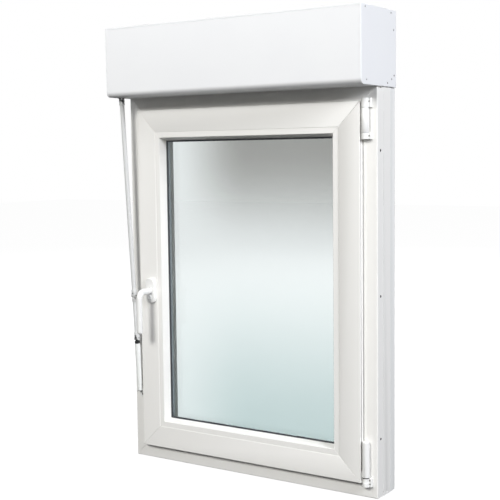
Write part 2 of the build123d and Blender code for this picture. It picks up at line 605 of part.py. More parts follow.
# winch in the box, around the worm and its wheel
shaft_offset = Vector(0, shaft_y, shaft_z) - Vector(0, pivot_point.Y, pivot_point.Z)
line_flat = Vector(0, up_dir.Y, up_dir.Z).normalized()
worm_distance = abs(shaft_offset.cross(line_flat).X)
wheel_radius = worm_distance - worm_radius - mesh_gap
housing_gap = 1.2
wheel_x0, wheel_x1 = winch_x0 + 4.0, winch_x0 + 17.0
worm_wheel = rod_x(shaft_y, shaft_z, wheel_radius, wheel_x0, wheel_x1)
worm_wheel -= rod_x(shaft_y, shaft_z, stub_radius, wheel_x0 - 1, wheel_x1 + 1)
parts["worm_wheel"] = worm_wheel
stub_bore = stub_radius + running_clearance
winch = rod_x(shaft_y, shaft_z, wheel_radius + housing_gap + 2.0, winch_x0, winch_x1)
worm_tower = crank_at * along(worm_radius + 4.5, worm_s0 - 9, worm_s1 + 9)
winch += worm_tower & block(winch_x0, winch_x1, box_front_y, box_back_y, frame_height, box_top_z)
winch -= rod_x(shaft_y, shaft_z, wheel_radius + housing_gap, wheel_x0 - housing_gap, wheel_x1 + housing_gap)
winch -= rod_x(shaft_y, shaft_z, stub_bore, winch_x0 + 1.5, winch_x1 + 1)
winch -= crank_at * along(worm_radius + housing_gap, worm_s0 - 1, worm_s1 + 1)
winch -= crank_at * along(worm_stem_radius + running_clearance, worm_s0 - 20, 20)
parts["winch_housing"] = winch

outlet_radius = 9.5
outlet_bore = crank_at * along(yoke_outer + 0.8, -40, 20)
cover_hole = crank_at * along(outlet_radius + 0.05, -40, 20)
parts["box_front_cover"] = parts["box_front_cover"] - cover_hole
outlet_zone = block(-half_width, half_width, -200, 200, box_bottom_z, box_bottom_z + box_wall)
flange_zone = block(-half_width, half_width, -200, 200, box_bottom_z - 1.2, box_bottom_z)
hub = (crank_at * along(outlet_radius, -40, 20)) & outlet_zone
flange = (crank_at * along(outlet_radius + 1.5, -40, 20)) & flange_zone
parts["crank_outlet"] = (hub + flange) - outlet_bore

# shutter curtain and bottom bar
bar_z0 = bar_top_z - bar_height
bar = block(-curtain_half, curtain_half, slat_y - slat_thickness / 2, slat_y + slat_thickness / 2, bar_z0, bar_top_z)
seal = block(-curtain_half, curtain_half, slat_y - 3, slat_y + 3, bar_z0 - 5, bar_z0)
parts["bottom_bar"] = bar + seal
bar_back_y = slat_y + slat_thickness / 2
parts["bar_stoppers"] = group(rod_y(x, bar_z0 + 32, 9.0, bar_back_y, rail_back_y) for x in (-250, 250))
curtain_top_z = shaft_z
curtain = block(-curtain_half, curtain_half, slat_y - slat_thickness / 2 + 0.5, slat_y + slat_thickness / 2 - 0.5,
                bar_top_z, curtain_top_z)
parts["shutter_curtain"] = curtain

# ---------------------------------------------------------------- crank clip on the left jamb
clip_z0, clip_z1 = clip_level - clip_below, clip_level + clip_above
clip_axis = foot + up_dir * ((clip_z0 + clip_z1) / 2 - foot.Z) / up_dir.Z
inner = grip_radius + clip_gap
outer = inner + clip_wall
clip = block(clip_axis.X - outer, clip_axis.X + outer, clip_axis.Y - 2, face_y, clip_z0, clip_z1)
clip -= rod_z(clip_axis.X, clip_axis.Y, inner, clip_z0 - 1, clip_z1 + 1)
clip -= block(clip_axis.X - inner, clip_axis.X + inner, clip_axis.Y - 30, clip_axis.Y, clip_z0 - 1, clip_z1 + 1)
clip_foot = block(clip_axis.X - 9, clip_axis.X + 9, face_y - 2.5, face_y, clip_z0 - clip_foot_height, clip_z0)
clip_screw_z = clip_z0 - 8
clip_screw_hole = rod_y(clip_axis.X, clip_screw_z, 2.2, face_y - 4, face_y + 1)
parts["crank_clip"] = clip + clip_foot - clip_screw_hole
fixing_screws = [rod_y(clip_axis.X, clip_screw_z, 2.2, face_y - 4, face_y)]
for z in (bearing_z0 + 8, bearing_z1 - 6, top_z0 + 8, top_z1 - 8):
    fixing_screws.append(rod_y(hinge_x + 11, z, 2.0, hinge_y - 0.8, hinge_y))
parts["fixing_screws"] = group(fixing_screws)

# ---------------------------------------------------------------- export
os.makedirs("parts", exist_ok=True)
for node, shape in parts.items():
    export_step(shape, f"parts/{node}.step")
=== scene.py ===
"""Looks of a tilt-and-turn window with a roller shutter box and a folding crank.

Each sub-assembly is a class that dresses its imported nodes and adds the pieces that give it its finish.
Lengths are in metres unless a name ends in _mm.
"""
import json
import logging
import math
from dataclasses import dataclass, field, replace
from enum import Enum

import bmesh
import bpy
from mathutils import Matrix, Vector

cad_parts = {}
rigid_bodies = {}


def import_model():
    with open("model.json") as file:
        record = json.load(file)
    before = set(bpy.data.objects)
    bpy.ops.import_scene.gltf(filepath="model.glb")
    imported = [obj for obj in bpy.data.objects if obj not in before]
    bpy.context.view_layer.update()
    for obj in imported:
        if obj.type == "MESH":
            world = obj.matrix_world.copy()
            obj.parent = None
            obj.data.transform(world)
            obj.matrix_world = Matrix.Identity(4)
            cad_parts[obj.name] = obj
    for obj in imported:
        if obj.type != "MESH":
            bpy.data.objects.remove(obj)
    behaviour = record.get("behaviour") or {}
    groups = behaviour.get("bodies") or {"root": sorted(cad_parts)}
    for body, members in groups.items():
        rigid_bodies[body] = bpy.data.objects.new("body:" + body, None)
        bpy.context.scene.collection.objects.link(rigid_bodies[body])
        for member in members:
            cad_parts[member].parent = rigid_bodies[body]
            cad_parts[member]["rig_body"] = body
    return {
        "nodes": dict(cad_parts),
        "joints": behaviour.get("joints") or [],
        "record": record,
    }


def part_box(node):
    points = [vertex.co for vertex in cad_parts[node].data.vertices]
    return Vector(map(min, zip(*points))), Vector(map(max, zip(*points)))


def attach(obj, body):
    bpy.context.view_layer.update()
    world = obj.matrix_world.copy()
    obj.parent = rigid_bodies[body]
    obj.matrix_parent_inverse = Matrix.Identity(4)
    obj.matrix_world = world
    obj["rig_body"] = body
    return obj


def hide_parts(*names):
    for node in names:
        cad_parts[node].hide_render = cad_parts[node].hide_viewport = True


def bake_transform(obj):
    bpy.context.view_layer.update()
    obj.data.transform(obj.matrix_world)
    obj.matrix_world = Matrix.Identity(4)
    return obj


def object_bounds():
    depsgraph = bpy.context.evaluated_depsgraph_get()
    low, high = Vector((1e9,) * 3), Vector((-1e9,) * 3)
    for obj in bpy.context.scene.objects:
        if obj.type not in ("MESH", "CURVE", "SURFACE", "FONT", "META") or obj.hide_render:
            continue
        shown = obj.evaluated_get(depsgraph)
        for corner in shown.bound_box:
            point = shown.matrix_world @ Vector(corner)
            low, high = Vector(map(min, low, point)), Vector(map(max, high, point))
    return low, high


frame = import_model()
CAD_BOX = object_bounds()
LOG = logging.getLogger("window")
MM = 0.001
WELD = 1e-6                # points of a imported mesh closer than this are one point
FINE_WELD = 1e-7           # the same for the pieces made here
FLAT_ANGLE = 0.4           # degrees under which two facets are one flat face
EDGE_ANGLE = 40.0          # degrees over which an edge is rounded by soften
CREASE_ANGLE = 35.0        # degrees over which an edge stays sharp in a piece's shading
CLOUDS_PER_METRE = 9.0     # broad drift of colour over a surface
SQUARE = ((-1, -1), (1, -1), (1, 1), (-1, 1))
Colour = tuple[float, float, float, float]
Pair = tuple[float, float]
Point = tuple[float, float, float]
Station = tuple[Vector, Vector, float, float]


# ------------------------------------------------------------------ colour and node helpers
def linear(hex_colour: str) -> Colour:
    """Turn an sRGB hex colour into linear light.

    Args:
        hex_colour: Six hex digits, such as "f0f0ee".

    Returns:
        Linear red, green, blue and an alpha of one.
    """
    channels = [int(hex_colour[i:i + 2], 16) / 255 for i in (0, 2, 4)]
    light = [c / 12.92 if c <= 0.04045 else ((c + 0.055) / 1.055) ** 2.4 for c in channels]
    return (light[0], light[1], light[2], 1.0)


def add_node(tree: bpy.types.NodeTree, kind: str, values: dict | None = None,
             links: dict | None = None, **settings: object) -> bpy.types.Node:
    """Add one node to a tree with its settings, input values and links.

    Args:
        tree: The tree that gets the node.
        kind: The node's type name.
        values: Input name or index to its fixed value.
        links: Input name or index to the output socket that feeds it.
        settings: Properties of the node itself.

    Returns:
        The new node.
    """
    node = tree.nodes.new(kind)
    for name, value in settings.items():
        setattr(node, name, value)
    for name, value in (values or {}).items():
        node.inputs[name].default_value = value
    for name, socket in (links or {}).items():
        tree.links.new(socket, node.inputs[name])
    return node


def blank_tree(owner: bpy.types.Material | bpy.types.World) -> bpy.types.NodeTree:
    """Switch a material or a world to nodes.

    Args:
        owner: The material or world.

    Returns:
        Its node tree, emptied.
    """
    owner.use_nodes = True
    owner.node_tree.nodes.clear()
    return owner.node_tree


class Grain(Enum):
    """Direction in which a profile was drawn, as the pattern's scale along each axis."""

    ALONG_X = (0.02, 1.0, 1.0)
    ALONG_Z = (1.0, 1.0, 0.02)
    NONE = (1.0, 1.0, 1.0)


class Surface(Enum):
    """How a surface was made, and how far its roughness wanders either way."""

    DRAWN = ("drawn", 0.04)
    MOULDED = ("moulded", 0.04)
    COATED = ("coated", 0.04)
    PLATED = ("plated", 0.10)
    RUBBER = ("rubber", 0.04)


@dataclass(frozen=True)
class Finish:
    """One finish: what the material is and how its surface was made."""

    name: str
    colour: str
    shade: str
    surface: Surface
    roughness: float
    ior: float = 1.5
    metallic: float = 0.0
    grain: Grain = Grain.NONE
    grit_mm: float = 1.2
    relief_mm: float = 0.02
    relief_strength: float = 0.35
    coat: float = 0.0
    coat_roughness: float = 0.12

    def material(self) -> bpy.types.Material:
        """Return the finish's material, built on first use.

        Returns:
            A material with a pattern for colour, roughness and relief.
        """
        known = bpy.data.materials.get(self.name)
        if known:
            return known
        material = bpy.data.materials.new(self.name)
        tree = blank_tree(material)
        place = add_node(tree, "ShaderNodeTexCoord")
        stretch = add_node(tree, "ShaderNodeMapping", {"Scale": self.grain.value},
                           {"Vector": place.outputs["Object"]})
        fine = add_node(tree, "ShaderNodeTexNoise", {"Scale": 1 / (self.grit_mm * MM), "Detail": 3.0},
                        {"Vector": stretch.outputs[0]})
        broad = add_node(tree, "ShaderNodeTexNoise", {"Scale": CLOUDS_PER_METRE, "Detail": 2.0},
                         {"Vector": place.outputs["Object"]})
        _, spread = self.surface.value
        rough = add_node(tree, "ShaderNodeMapRange",
                         {"To Min": self.roughness - spread, "To Max": self.roughness + spread},
                         {"Value": fine.outputs["Fac"]})
        cloud = fine if self.surface is Surface.PLATED else broad
        tint = add_node(tree, "ShaderNodeMix", {6: linear(self.colour), 7: linear(self.shade)},
                        {"Factor": cloud.outputs["Fac"]}, data_type="RGBA")
        relief = add_node(tree, "ShaderNodeBump",
                          {"Strength": self.relief_strength, "Distance": self.relief_mm * MM},
                          {"Height": fine.outputs["Fac"]})
        shader = add_node(tree, "ShaderNodeBsdfPrincipled",
                          {"Metallic": self.metallic, "IOR": self.ior, "Coat Weight": self.coat,
                           "Coat Roughness": self.coat_roughness},
                          {"Base Color": tint.outputs[2], "Roughness": rough.outputs[0],
                           "Normal": relief.outputs[0]})
        add_node(tree, "ShaderNodeOutputMaterial", links={"Surface": shader.outputs[0]})
        return material


# Grit and relief are drawn coarser than on the real surfaces, so that they show.
# Extruded rigid PVC: a clean, slightly warm white with faint die lines along the profile.
UPVC_UPRIGHT = Finish("upvc_drawn_upright", "f9f8f5", "f6f5f1", Surface.DRAWN, 0.34, 1.53,
                      grain=Grain.ALONG_Z)
UPVC_LEVEL = replace(UPVC_UPRIGHT, name="upvc_drawn_level", grain=Grain.ALONG_X)
# Powder-coated sheet: a cooler white with a fine orange peel.
BOX_COAT = Finish("box_powder_coat", "f8f9fa", "f4f5f7", Surface.COATED, 0.38, grit_mm=2.2, relief_mm=0.03)
# Powder-coated extrusions: a greyer white, with the peel drawn out along the profile.
RAIL_COAT = Finish("rail_powder_coat", "f0f0ee", "ecedec", Surface.COATED, 0.36, grain=Grain.ALONG_Z)
SLAT_COAT = Finish("slat_coat", "e3e4e3", "dcdddd", Surface.COATED, 0.45, grain=Grain.ALONG_X)
# Die-cast hardware with a glossy white enamel.
HARDWARE_COAT = Finish("hardware_enamel", "f6f6f4", "f2f2f0", Surface.COATED, 0.24, relief_mm=0.01,
                       coat=0.25)
# Injection-moulded plastic with a satin mould face: white outside, dark or blue where it is hidden. The dark
# one also lines the frame-screw holes as painted shade.
MOULDED_WHITE = Finish("moulded_white", "f2f3f1", "eceeec", Surface.MOULDED, 0.42, 1.49, grit_mm=0.8)
MOULDED_DARK = Finish("moulded_dark", "2c2d2f", "232426", Surface.MOULDED, 0.48, 1.49, grit_mm=0.8)
PACKER_BLUE = Finish("packer_plastic", "56677c", "4c5c70", Surface.MOULDED, 0.5, 1.49, grit_mm=1.5)
# EPDM seal: nearly black, dull, with a dusty bloom.
SEAL_RUBBER = Finish("epdm_seal", "42464b", "34383d", Surface.RUBBER, 0.62, 1.52, grit_mm=0.9,
                     relief_mm=0.05)
# Nylon pile: soft, dark and without a gloss.
BRUSH_PILE = Finish("brush_pile", "3a3b3d", "2b2c2e", Surface.RUBBER, 0.8, grit_mm=0.6)
# Mill-finish spacer strip: grey with a soft sheen.
SPACER_METAL = Finish("spacer_strip", "b6bec4", "a8b0b6", Surface.PLATED, 0.42, metallic=0.3, grit_mm=1.5)
# Plated steel: grey or bronze, with a fine crystalline spangle.
ZINC_STEEL = Finish("zinc_plate", "b9b8b2", "a3a29b", Surface.PLATED, 0.38, metallic=1.0, grit_mm=3.0)
BRONZE_STEEL = Finish("bronze_plate", "8d7a5c", "7c6a4e", Surface.PLATED, 0.4, metallic=1.0, grit_mm=2.0)
# Ground steel: a darker grey, smoother and finer in its grit.
BARE_STEEL = Finish("ground_steel", "8f9092", "7d7f82", Surface.PLATED, 0.3, metallic=1.0, grit_mm=0.7)
# Lacquered aluminium tube: light neutral grey, satin.
ROD_LACQUER = Finish("rod_lacquer", "dcdddc", "d2d3d3", Surface.COATED, 0.33, grain=Grain.ALONG_Z)


@dataclass(frozen=True)
class Glazing:
    """Float glass: clear, with a tint that turns greener and darker low down. A painted reflection greys it
    high up, and a painted lighter reflection takes both back towards the side at low X.

    Each rise is where that change starts and is complete, as shares of the pane's height or width.
    """

    name: str = "float_glass"
    clear: str = "f5f8f8"
    low: str = "dce6e6"
    # painted reflection: the grey that the pane takes high up
    high: str = "c6c7c5"
    ior: float = 1.5
    roughness: float = 0.01
    low_rise: Pair = (0.62, 0.0)
    reflection_rise: Pair = (0.58, 0.97)
    # side_rise and least_at_side: a painted lighter reflection, with less grey and less low tint towards low
    # X
    side_rise: Pair = (0.02, 0.5)
    least_at_side: float = 0.4
    least_in_waver: float = 0.85
    wavers_per_metre: float = 2.2

    def material(self) -> bpy.types.Material:
        """Return the glass material, built on first use.

        Returns:
            A transmissive material whose tint drifts over the height of the pane.
        """
        known = bpy.data.materials.get(self.name)
        if known:
            return known
        foot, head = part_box("pane_inner")
        material = bpy.data.materials.new(self.name)
        tree = blank_tree(material)
        place = add_node(tree, "ShaderNodeTexCoord")
        waver = add_node(tree, "ShaderNodeTexNoise", {"Scale": self.wavers_per_metre, "Detail": 1.0},
                         {"Vector": place.outputs["Object"]})
        split = add_node(tree, "ShaderNodeSeparateXYZ", links={0: place.outputs["Object"]})
        spans = {"X": (foot.x, head.x - foot.x), "Z": (foot.z, head.z - foot.z)}
        rises = []
        for axis, (start, end) in (("Z", self.low_rise), ("Z", self.reflection_rise), ("X", self.side_rise)):
            edge, span = spans[axis]
            rise = add_node(tree, "ShaderNodeMapRange",
                            {"From Min": edge + start * span, "From Max": edge + end * span},
                            {"Value": split.outputs[axis]}, interpolation_type="SMOOTHSTEP")
            rises.append(rise.outputs[0])
        bottom, top, side = rises
        # painted reflection: grey high up, fading towards low X and wavering over the pane
        corner = add_node(tree, "ShaderNodeMath", links={0: top, 1: side}, operation="MULTIPLY")
        drift = add_node(tree, "ShaderNodeMapRange", {"To Min": self.least_in_waver, "To Max": 1.0},
                         {"Value": waver.outputs["Fac"]})
        reflection_share = add_node(tree, "ShaderNodeMath", links={0: corner.outputs[0], 1: drift.outputs[0]},
                          operation="MULTIPLY")
        # painted lighter reflection: less of the low tint towards low X
        across = add_node(tree, "ShaderNodeMapRange", {"To Min": self.least_at_side}, {"Value": side})
        depth = add_node(tree, "ShaderNodeMath", links={0: bottom, 1: across.outputs[0]},
                         operation="MULTIPLY")
        body = add_node(tree, "ShaderNodeMix", {6: linear(self.clear), 7: linear(self.low)},
                        {"Factor": depth.outputs[0]}, data_type="RGBA")
        tint = add_node(tree, "ShaderNodeMix", {7: linear(self.high)},
                        {"Factor": reflection_share.outputs[0], 6: body.outputs[2]}, data_type="RGBA")
        shader = add_node(tree, "ShaderNodeBsdfPrincipled",
                          {"Roughness": self.roughness, "IOR": self.ior, "Transmission Weight": 1.0},
                          {"Base Color": tint.outputs[2]})
        add_node(tree, "ShaderNodeOutputMaterial", links={"Surface": shader.outputs[0]})
        return material


GLASS = Glazing()


# ------------------------------------------------------------------ mesh helpers
def body_of(node: str) -> str:
    """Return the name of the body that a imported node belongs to."""
    return frame["nodes"][node]["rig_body"]


def dress(node: str, finish: Finish | Glazing) -> None:
    """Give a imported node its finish.

    Args:
        node: The node's name.
        finish: The finish that it takes.
    """
    mesh = frame["nodes"][node].data
    mesh.materials.clear()
    mesh.materials.append(finish.material())
    LOG.info("%s: %s", node, finish.name)


def add_object(name: str, data: bpy.types.ID) -> bpy.types.Object:
    """Make an object from its data and put it in the scene.

    Args:
        name: The object's name.
        data: Its mesh, light or camera.

    Returns:
        The new object.
    """
    thing = bpy.data.objects.new(name, data)
    bpy.context.scene.collection.objects.link(thing)
    return thing


def add_piece(name: str, mesh: bpy.types.Mesh, finish: Finish | Glazing, body: str | None,
              replaced: tuple[str, ...] = ()) -> bpy.types.Object:
    """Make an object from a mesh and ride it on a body.

    Args:
        name: The piece's name.
        mesh: Its mesh, already in place.
        finish: Its finish.
        body: The body that it rides on, or None for a piece that bends between two.
        replaced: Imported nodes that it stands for.

    Returns:
        The new object.
    """
    piece = add_object(name, mesh)
    mesh.materials.clear()
    mesh.materials.append(finish.material())
    if body:
        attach(piece, body)
    if replaced:
        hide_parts(*replaced)
    LOG.info("%s: %d faces, on %s", name, len(mesh.polygons), body or "two bodies")
    return piece


def shade(mesh: bpy.types.Mesh, angle: float = CREASE_ANGLE) -> None:
    """Smooth a mesh's faces, except across edges sharper than an angle in degrees."""
    mesh.polygons.foreach_set("use_smooth", [True] * len(mesh.polygons))
    mesh.set_sharp_from_angle(angle=math.radians(angle))


def baked(source: bpy.types.Object, name: str) -> bpy.types.Mesh:
    """Turn an object with modifiers into a plain mesh and remove the object.

    Args:
        source: The object to bake.
        name: The new mesh's name.

    Returns:
        The evaluated mesh.
    """
    graph = bpy.context.evaluated_depsgraph_get()
    mesh = bpy.data.meshes.new_from_object(source.evaluated_get(graph))
    mesh.name = name
    bpy.data.objects.remove(source)
    return mesh


def soften(node: str, finish: Finish, edge_mm: float, segments: int = 2) -> bpy.types.Object:
    """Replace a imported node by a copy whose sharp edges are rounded, as a tool or a die leaves them.

    Args:
        node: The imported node.
        finish: The copy's finish.
        edge_mm: Width of the rounding.
        segments: Faces across the rounding.

    Returns:
        The copy, which stands for the node.
    """
    bm = bmesh.new()
    bm.from_mesh(frame["nodes"][node].data)
    bmesh.ops.remove_doubles(bm, verts=bm.verts, dist=WELD)
    bmesh.ops.dissolve_limit(bm, angle_limit=math.radians(FLAT_ANGLE), verts=bm.verts, edges=bm.edges)
    mesh = bpy.data.meshes.new(node + "_plain")
    bm.to_mesh(mesh)
    bm.free()
    plain = add_object(node + "_plain", mesh)
    bevel = plain.modifiers.new("edges", "BEVEL")
    bevel.width = edge_mm * MM
    bevel.segments = segments
    bevel.limit_method = "ANGLE"
    bevel.angle_limit = math.radians(EDGE_ANGLE)
    bevel.use_clamp_overlap = False
    bevel.harden_normals = True
    shade(mesh, EDGE_ANGLE)
    rounded = baked(plain, node + "_finished")
    return add_piece(node + "_finished", rounded, finish, body_of(node), (node,))


def to_mesh(bm: bmesh.types.BMesh, name: str, angle: float = CREASE_ANGLE) -> bpy.types.Mesh:
    """Finish a bmesh: outward faces, smooth shading, and free it.

    Args:
        bm: The mesh under construction.
        name: The new mesh's name.
        angle: Edges sharper than this, in degrees, stay sharp.

    Returns:
        The finished mesh.
    """
    bmesh.ops.remove_doubles(bm, verts=bm.verts, dist=FINE_WELD)
    bmesh.ops.recalc_face_normals(bm, faces=bm.faces)
    mesh = bpy.data.meshes.new(name)
    bm.to_mesh(mesh)
    bm.free()
    shade(mesh, angle)
    return mesh


def skin(bm: bmesh.types.BMesh, rings: list[list[Vector]], closed: bool = False) -> None:
    """Join rings of points into a tube, with capped ends unless it closes on itself.

    Args:
        bm: The mesh that gets the tube.
        rings: Rings with the same number of points.
        closed: Whether the last ring joins the first.
    """
    verts = [[bm.verts.new(p) for p in ring] for ring in rings]
    pairs = list(zip(verts, verts[1:] + verts[:1] if closed else verts[1:]))
    for a, b in pairs:
        for i, _ in enumerate(a):
            j = (i + 1) % len(a)
            bm.faces.new((a[i], a[j], b[j], b[i]))
    if not closed:
        bm.faces.new(verts[0])
        bm.faces.new(list(reversed(verts[-1])))


def turned(bm: bmesh.types.BMesh, outline: list[Pair], base: Matrix, sides: int,
           closed: bool = False) -> None:
    """Turn an outline of (radius, height) about the local Z axis of a placement.

    Args:
        bm: The mesh that gets the shape.
        outline: Points from the bottom to the top, or in a loop.
        base: Placement of the axis.
        sides: Faces around.
        closed: Whether the outline is a loop round an open bore.
    """
    angles = [2 * math.pi * i / sides for i in range(sides)]
    rings = [[base @ Vector((r * math.cos(a), r * math.sin(a), h)) for a in angles] for r, h in outline]
    skin(bm, rings, closed)


def facing(at: Point, direction: Point) -> Matrix:
    """Return a placement at a point with its local Z along a direction."""
    return Matrix.Translation(at) @ Vector(direction).to_track_quat("Z", "Y").to_matrix().to_4x4()


# ------------------------------------------------------------------ geometry-node trees
@dataclass
class Repeater:
    """Geometry-node trees that set copies of one piece out in a row or on given points."""

    trees: dict[str, bpy.types.NodeTree] = field(default_factory=dict)

    def tree(self, in_row: bool) -> bpy.types.NodeTree:
        """Build or return one of the two trees.

        Args:
            in_row: True for a straight row, False for copies on the modified object's own points.

        Returns:
            The node tree, with named inputs for its sizes.
        """
        name = "row_of_pieces" if in_row else "pieces_on_points"
        if name in self.trees:
            return self.trees[name]
        tree = bpy.data.node_groups.new(name, "GeometryNodeTree")
        face = tree.interface
        for name_of_input, kind in (("Geometry", "Geometry"), ("Piece", "Object"), ("Finish", "Material"),
                                    ("Count", "Int"), ("Start", "Vector"), ("Step", "Vector")):
            face.new_socket(name_of_input, in_out="INPUT", socket_type="NodeSocket" + kind)
        face.new_socket("Geometry", in_out="OUTPUT", socket_type="NodeSocketGeometry")
        given = add_node(tree, "NodeGroupInput")
        points = given.outputs["Geometry"]
        if in_row:
            line = add_node(tree, "GeometryNodeMeshLine", links={
                "Count": given.outputs["Count"], "Start Location": given.outputs["Start"],
                "Offset": given.outputs["Step"]})
            points = line.outputs[0]
        piece = add_node(tree, "GeometryNodeObjectInfo", links={"Object": given.outputs["Piece"]})
        copies = add_node(tree, "GeometryNodeInstanceOnPoints",
                          links={"Points": points, "Instance": piece.outputs["Geometry"]})
        solid = add_node(tree, "GeometryNodeRealizeInstances", links={0: copies.outputs[0]})
        coated = add_node(tree, "GeometryNodeSetMaterial",
                          links={"Geometry": solid.outputs[0], "Material": given.outputs["Finish"]})
        add_node(tree, "NodeGroupOutput", links={0: coated.outputs[0]})
        self.trees[name] = tree
        return tree

    def run(self, name: str, piece: bpy.types.Mesh, finish: Finish, values: dict[str, object],
            points: list[Point] | None = None) -> bpy.types.Mesh:
        """Run a tree once and return its result as a plain mesh.

        Args:
            name: Name of the result.
            piece: Mesh of one copy, about its own origin.
            finish: Finish of the copies.
            values: Input name to value for the row's sizes.
            points: Places of the copies, or None for a row.

        Returns:
            The baked mesh.
        """
        base = bpy.data.meshes.new(name + "_points")
        base.from_pydata(points or [(0, 0, 0)], [], [])
        single = add_object(name + "_one", piece)
        holder = add_object(name + "_holder", base)
        modifier = holder.modifiers.new("repeat", "NODES")
        modifier.node_group = self.tree(points is None)
        inputs = {"Piece": single, "Finish": finish.material(), **values}
        for item in modifier.node_group.interface.items_tree:
            if item.in_out == "INPUT" and item.name in inputs:
                modifier[item.identifier] = inputs[item.name]
        result = baked(holder, name)
        bpy.data.objects.remove(single)
        shade(result)
        return result


REPEAT = Repeater()


@dataclass
class ScrewHead:
    """Pan-head screw with a cross recess.

    A ring is its share of the radius, its share of the height and whether it follows the cross.
    """

    radius: float = 2.5 * MM
    height: float = 1.4 * MM
    waist: float = 0.35
    pinch: int = 6
    sides: int = 24
    rings: tuple[tuple[float, float, bool], ...] = (
        (1.0, 0.0, False), (1.0, 0.45, False), (0.85, 0.85, False), (0.72, 1.0, False),
        (0.6, 1.0, True), (0.5, 0.35, True))

    def reach(self, angle: float) -> float:
        """Return the cross's share of a ring's radius at an angle, which falls to the waist between arms."""
        return self.waist + (1 - self.waist) * abs(math.cos(2 * angle)) ** self.pinch

    def mesh(self, direction: Point) -> bpy.types.Mesh:
        """Build one head about its own origin.

        Args:
            direction: The way that the head faces.

        Returns:
            The head's mesh, with its seat at the origin.
        """
        base = facing((0, 0, 0), direction)
        angles = [2 * math.pi * i / self.sides for i in range(self.sides)]
        rings = []
        for share, level, crossed in self.rings:
            spots = [(self.radius * share * (self.reach(a) if crossed else 1), a) for a in angles]
            rings.append([base @ Vector((r * math.cos(a), r * math.sin(a), self.height * level))
                          for r, a in spots])
        bm = bmesh.new()
        skin(bm, rings)
        return to_mesh(bm, "screw_head")


# ------------------------------------------------------------------ sub-assemblies
@dataclass
class OuterFrame:
    """Welded outer frame with its guide rails, seals and strikers."""

    edge_mm: float = 0.7
    rail_edge_mm: float = 0.5
    tuft_pitch: float = 5 * MM
    tuft_width: float = 4.4 * MM
    tuft_half: float = 1.5 * MM
    tuft_depth: float = 1.6 * MM
    tuft_taper: tuple[Pair, ...] = ((0.0, 1.0), (0.7, 0.8), (1.0, 0.35))
    brush_gap: float = 3 * MM
    brush_inset: float = 6 * MM
    brush_foot: float = 5 * MM
    brush_shortfall: float = 60 * MM
    sleeve_length: float = 14 * MM
    sleeve_wall: float = 0.25 * MM
    sleeve_play: float = 0.05 * MM
    sleeve_sides: int = 28
    cap_half_width: float = 19 * MM
    cap_half_height: float = 7 * MM
    cap_level: float = 43.5 * MM
    cap_steps: tuple[Pair, ...] = ((0.0, 1.0), (2.2 * MM, 0.96), (3.4 * MM, 0.8))
    cap_hood: tuple[Pair, ...] = (
        (-1, -1), (1, -1), (1, 0.6), (0.86, 1), (-0.86, 1), (-1, 0.6))

    def build(self) -> None:
        """Finish the frame's members and add its small pieces."""
        for node in ("frame_sill", "frame_head"):
            soften(node, UPVC_LEVEL, self.edge_mm)
        for node in ("frame_jamb_left", "frame_jamb_right"):
            soften(node, UPVC_UPRIGHT, self.edge_mm)
        for node in ("guide_rail_left", "guide_rail_right"):
            soften(node, RAIL_COAT, self.rail_edge_mm)
        dress("frame_gasket", SEAL_RUBBER)
        dress("frame_reinforcement", ZINC_STEEL)
        soften("striker_plates", ZINC_STEEL, edge_mm=0.3)
        soften("crank_clip", MOULDED_WHITE, edge_mm=0.4)
        self.brushes()
        self.drain_caps()
        self.fixing_sleeves()

    def brushes(self) -> None:
        """Line the rail slots with pile that quietens the slats."""
        low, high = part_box("guide_rail_right")
        inner, outer = (corner.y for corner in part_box("shutter_curtain"))
        bm = bmesh.new()
        for side in (-1, 1):
            for wall, inwards in ((inner - self.brush_gap, 1), (outer + self.brush_gap, -1)):
                root = Vector((side * (low.x + self.brush_inset), wall, 0))
                rings = []
                for share, width in self.tuft_taper:
                    y = root.y + inwards * share * self.tuft_depth
                    half = self.tuft_width * width / 2
                    rings.append([Vector((root.x + u * self.tuft_half, y, v * half)) for u, v in SQUARE])
                skin(bm, rings)
        tufts = int((high.z - low.z - self.brush_shortfall) / self.tuft_pitch)
        sizes = {"Count": tufts, "Start": (0, 0, low.z + self.brush_foot), "Step": (0, 0, self.tuft_pitch)}
        row = REPEAT.run("rail_brushes", to_mesh(bm, "tuft"), BRUSH_PILE, sizes)
        add_piece("rail_brushes", row, BRUSH_PILE, "root")

    def fixing_sleeves(self) -> None:
        """Line the frame-screw holes with dark sleeves, which stay open and darken the holes as painted
        shade.
        """
        mounts = [m for m in frame["record"]["mounts"] if m["kind"] == "bolt_pattern"]
        hole = mounts[0]["dims"]["hole_r_mm"] * MM
        reach = mounts[0]["dims"]["spacing_y_mm"] * MM / 2
        bore, skirt = hole - self.sleeve_wall, hole - self.sleeve_play
        outline = [(bore, 0), (skirt, 0), (skirt, self.sleeve_length), (bore, self.sleeve_length)]
        bm = bmesh.new()
        for mount in mounts:
            x, y, z = mount["pos_m"]
            sleeve = bmesh.new()
            inwards = facing((0, 0, 0), (-math.copysign(1, x), 0, 0))
            turned(sleeve, outline, inwards, self.sleeve_sides, closed=True)
            places = [(x, y, z + offset) for offset in (-reach, 0, reach)]
            bm.from_mesh(REPEAT.run("sleeve_row", to_mesh(sleeve, "sleeve"), MOULDED_DARK, {}, places))
        # dark sleeves: painted shade inside the frame-screw holes
        add_piece("fixing_sleeves", to_mesh(bm, "fixing_sleeves"), MOULDED_DARK, "root")

    def drain_caps(self) -> None:
        """Add hooded caps over the two drain slots on the outside of the sill."""
        low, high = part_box("frame_sill")
        bm = bmesh.new()
        for x in (low.x / 2, high.x / 2):
            rings = []
            for depth, grow in self.cap_steps:
                width, tall = self.cap_half_width * grow, self.cap_half_height * grow
                centre = Vector((x, high.y + depth, self.cap_level))
                rings.append([centre + Vector((width * u, 0, tall * v)) for u, v in self.cap_hood])
            skin(bm, rings)
        add_piece("drain_caps", to_mesh(bm, "drain_caps", angle=25), MOULDED_WHITE, "root")


